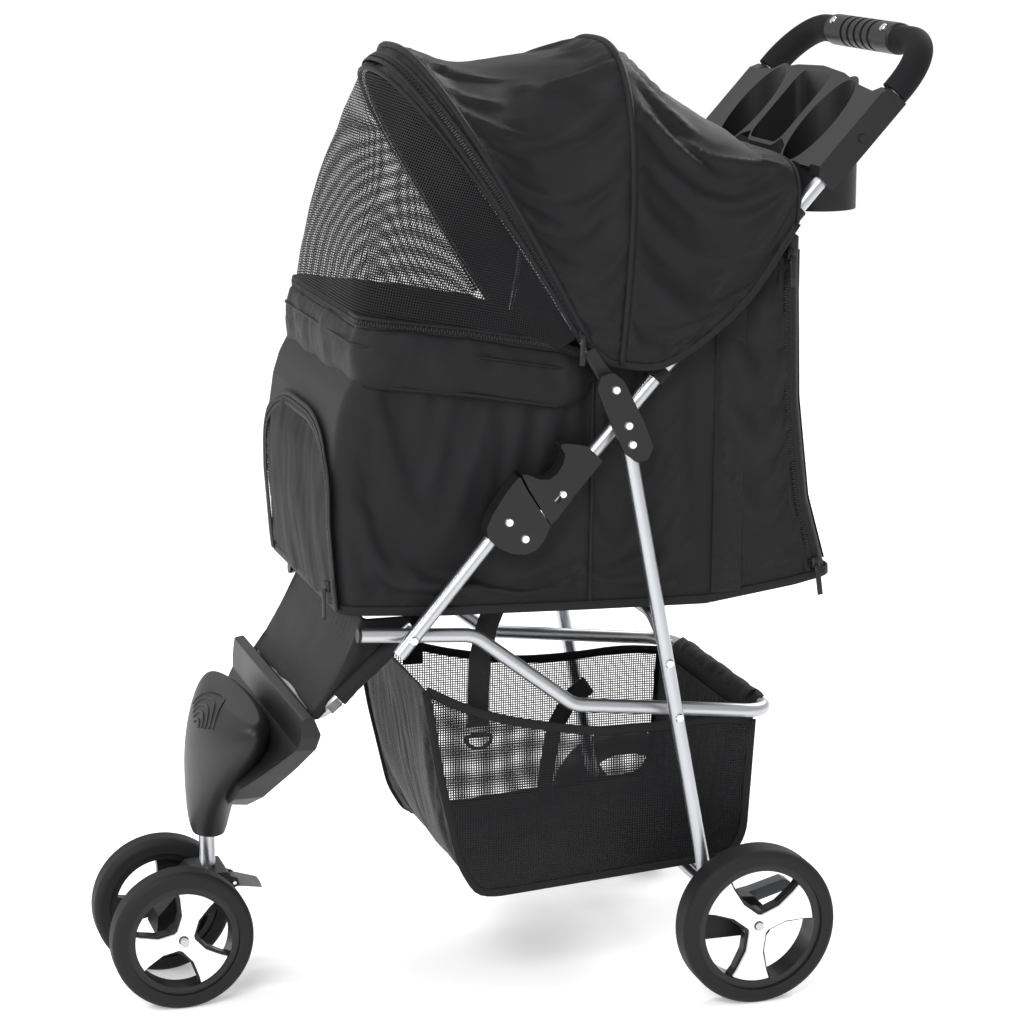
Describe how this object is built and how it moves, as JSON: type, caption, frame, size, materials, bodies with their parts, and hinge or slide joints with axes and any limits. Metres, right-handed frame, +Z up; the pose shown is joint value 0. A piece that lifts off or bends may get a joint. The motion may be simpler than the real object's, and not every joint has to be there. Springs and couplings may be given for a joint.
{
  "type": "pet stroller",
  "caption": "Folding three-wheel pet stroller with a zipped cloth cabin, mesh canopy window, hanging basket, cup tray and foam handle.",
  "frame": {"origin": "middle of the bounding box at the ground", "axes": "+Z up, -Y the way the stroller rolls forwards, +X to the stroller's own left"},
  "size_m": [0.442, 0.8248, 0.9565],
  "materials": {
    "silver_paint": "satin silver paint",
    "black_plastic": "fine matte grain",
    "rivet_steel": "zinc plated",
    "axle_steel": "zinc plated",
    "grey_plastic": "matte",
    "foam": "soft closed-cell foam",
    "black_cloth": "plain woven polyester",
    "basket_cloth": "woven polyester and mesh",
    "mesh": "open mesh",
    "floor_board": "cloth-covered board",
    "webbing": "woven polypropylene webbing",
    "tyre_rubber": "moulded rubber",
    "rim_plastic": "semi-gloss black",
    "white_cap": "gloss white"
  },
  "bodies": {
    "chassis": {"side_tubes": "silver_paint", "front_tube": "silver_paint", "front_housing": "black_plastic", "fold_latch_housings": "black_plastic", "frame_rivets": "rivet_steel", "cabin_floor": "floor_board", "cabin_sides": "black_cloth", "cabin_front": "black_cloth", "front_door_mesh": "mesh", "cuff": "black_cloth", "cabin_rear": "black_cloth", "rear_door_flap": "black_cloth", "lower_front_panel": "black_cloth", "side_straps": "webbing"},
    "handle": {"handle_tube": "silver_paint", "latch_guide_rivets": "rivet_steel", "foam_grips": "foam", "middle_grip": "black_plastic", "cup_tray": "black_plastic", "tray_buttons": "black_plastic"},
    "latch_left": {"fold_latch_slider_left": "black_plastic"},
    "latch_right": {"fold_latch_slider_right": "black_plastic"},
    "rear_frame": {"rear_legs": "silver_paint", "upper_brackets": "black_plastic", "leg_rivets": "rivet_steel", "cross_brace": "silver_paint", "rear_cross_tube": "silver_paint", "rear_axle": "axle_steel", "brake_housings": "black_plastic", "brake_pins": "rivet_steel", "middle_bow": "axle_steel", "canopy_rear": "black_cloth", "canopy_front": "black_cloth"},
    "canopy_bow": {"front_bow": "axle_steel", "bow_sockets": "black_plastic", "mesh_window": "mesh"},
    "basket_frame": {"basket_rail": "silver_paint", "rail_plugs": "black_plastic", "basket": "basket_cloth", "basket_rear_sleeve": "black_cloth", "basket_straps": "webbing"},
    "caster": {"caster_stem": "axle_steel", "caster_fork": "black_plastic", "front_axle": "axle_steel", "swivel_lock_pin": "rivet_steel"},
    "swivel_lock": {"swivel_lock_lever": "grey_plastic"},
    "brake_left": {"brake_pedal_left": "grey_plastic"},
    "brake_right": {"brake_pedal_right": "grey_plastic"},
    "rear_wheel_left": {"rear_left_tyre": "tyre_rubber", "rear_left_rim": "rim_plastic", "rear_left_cap": "white_cap"},
    "rear_wheel_right": {"rear_right_tyre": "tyre_rubber", "rear_right_rim": "rim_plastic", "rear_right_cap": "white_cap"},
    "front_wheel_left": {"front_left_tyre": "tyre_rubber", "front_left_rim": "rim_plastic", "front_left_cap": "white_cap"},
    "front_wheel_right": {"front_right_tyre": "tyre_rubber", "front_right_rim": "rim_plastic", "front_right_cap": "white_cap"}
  },
  "joints": [
    {"name": "frame_fold", "type": "hinge", "parent": "chassis", "child": "handle", "pos_m": [0, -0.02137, 0.481], "axis": [-1, 0, 0], "range_deg": [0, 128], "deforming": ["cabin_sides", "cabin_front", "front_door_mesh", "cuff", "cabin_rear", "rear_door_flap", "side_straps", "lower_front_panel", "canopy_rear", "basket", "basket_straps", "basket_rear_sleeve"]},
    {"name": "rear_frame_fold", "type": "hinge", "parent": "handle", "child": "rear_frame", "pos_m": [0, 0.07663, 0.5888], "axis": [-1, 0, 0], "range_deg": [-74.3, 0]},
    {"name": "basket_fold", "type": "hinge", "parent": "chassis", "child": "basket_frame", "pos_m": [0, -0.13137, 0.3876], "axis": [-1, 0, 0], "range_deg": [0, 85.8]},
    {"name": "canopy_fold", "type": "hinge", "parent": "rear_frame", "child": "canopy_bow", "pos_m": [0, 0.06363, 0.624], "axis": [-1, 0, 0], "range_deg": [0, 32], "deforming": ["canopy_front", "mesh_window"]},
    {"name": "latch_left_slide", "type": "slide", "parent": "handle", "child": "latch_left", "axis": [0, 0.6727, 0.7399], "range_m": [0, 0.008], "stiffness_N_per_m": 600, "springref_m": -0.004},
    {"name": "latch_right_slide", "type": "slide", "parent": "handle", "child": "latch_right", "axis": [0, 0.6727, 0.7399], "range_m": [0, 0.008], "stiffness_N_per_m": 600, "springref_m": -0.004},
    {"name": "caster_swivel", "type": "hinge", "parent": "chassis", "child": "caster", "pos_m": [0, -0.30337, 0.15], "axis": [0, 0, 1], "continuous": true},
    {"name": "swivel_lock_tilt", "type": "hinge", "parent": "caster", "child": "swivel_lock", "pos_m": [0, -0.27837, 0.107], "axis": [-1, 0, 0], "range_deg": [0, 22]},
    {"name": "brake_left_press", "type": "hinge", "parent": "rear_frame", "child": "brake_left", "pos_m": [0, 0.21463, 0.092], "axis": [-1, 0, 0], "range_deg": [0, 18]},
    {"name": "brake_right_press", "type": "hinge", "parent": "rear_frame", "child": "brake_right", "pos_m": [0, 0.21463, 0.092], "axis": [-1, 0, 0], "range_deg": [0, 18]},
    {"name": "rear_wheel_left_spin", "type": "hinge", "parent": "rear_frame", "child": "rear_wheel_left", "pos_m": [0, 0.20863, 0.08], "axis": [1, 0, 0], "continuous": true},
    {"name": "front_wheel_left_spin", "type": "hinge", "parent": "caster", "child": "front_wheel_left", "pos_m": [0, -0.34137, 0.071], "axis": [1, 0, 0], "continuous": true},
    {"name": "rear_wheel_right_spin", "type": "hinge", "parent": "rear_frame", "child": "rear_wheel_right", "pos_m": [0, 0.20863, 0.08], "axis": [1, 0, 0], "continuous": true},
    {"name": "front_wheel_right_spin", "type": "hinge", "parent": "caster", "child": "front_wheel_right", "pos_m": [0, -0.34137, 0.071], "axis": [1, 0, 0], "continuous": true}
  ],
  "couplings": [
    {"joint": "rear_frame_fold", "follows": "frame_fold", "ratio": -0.58},
    {"joint": "basket_fold", "follows": "frame_fold", "ratio": 0.67}
  ]
}
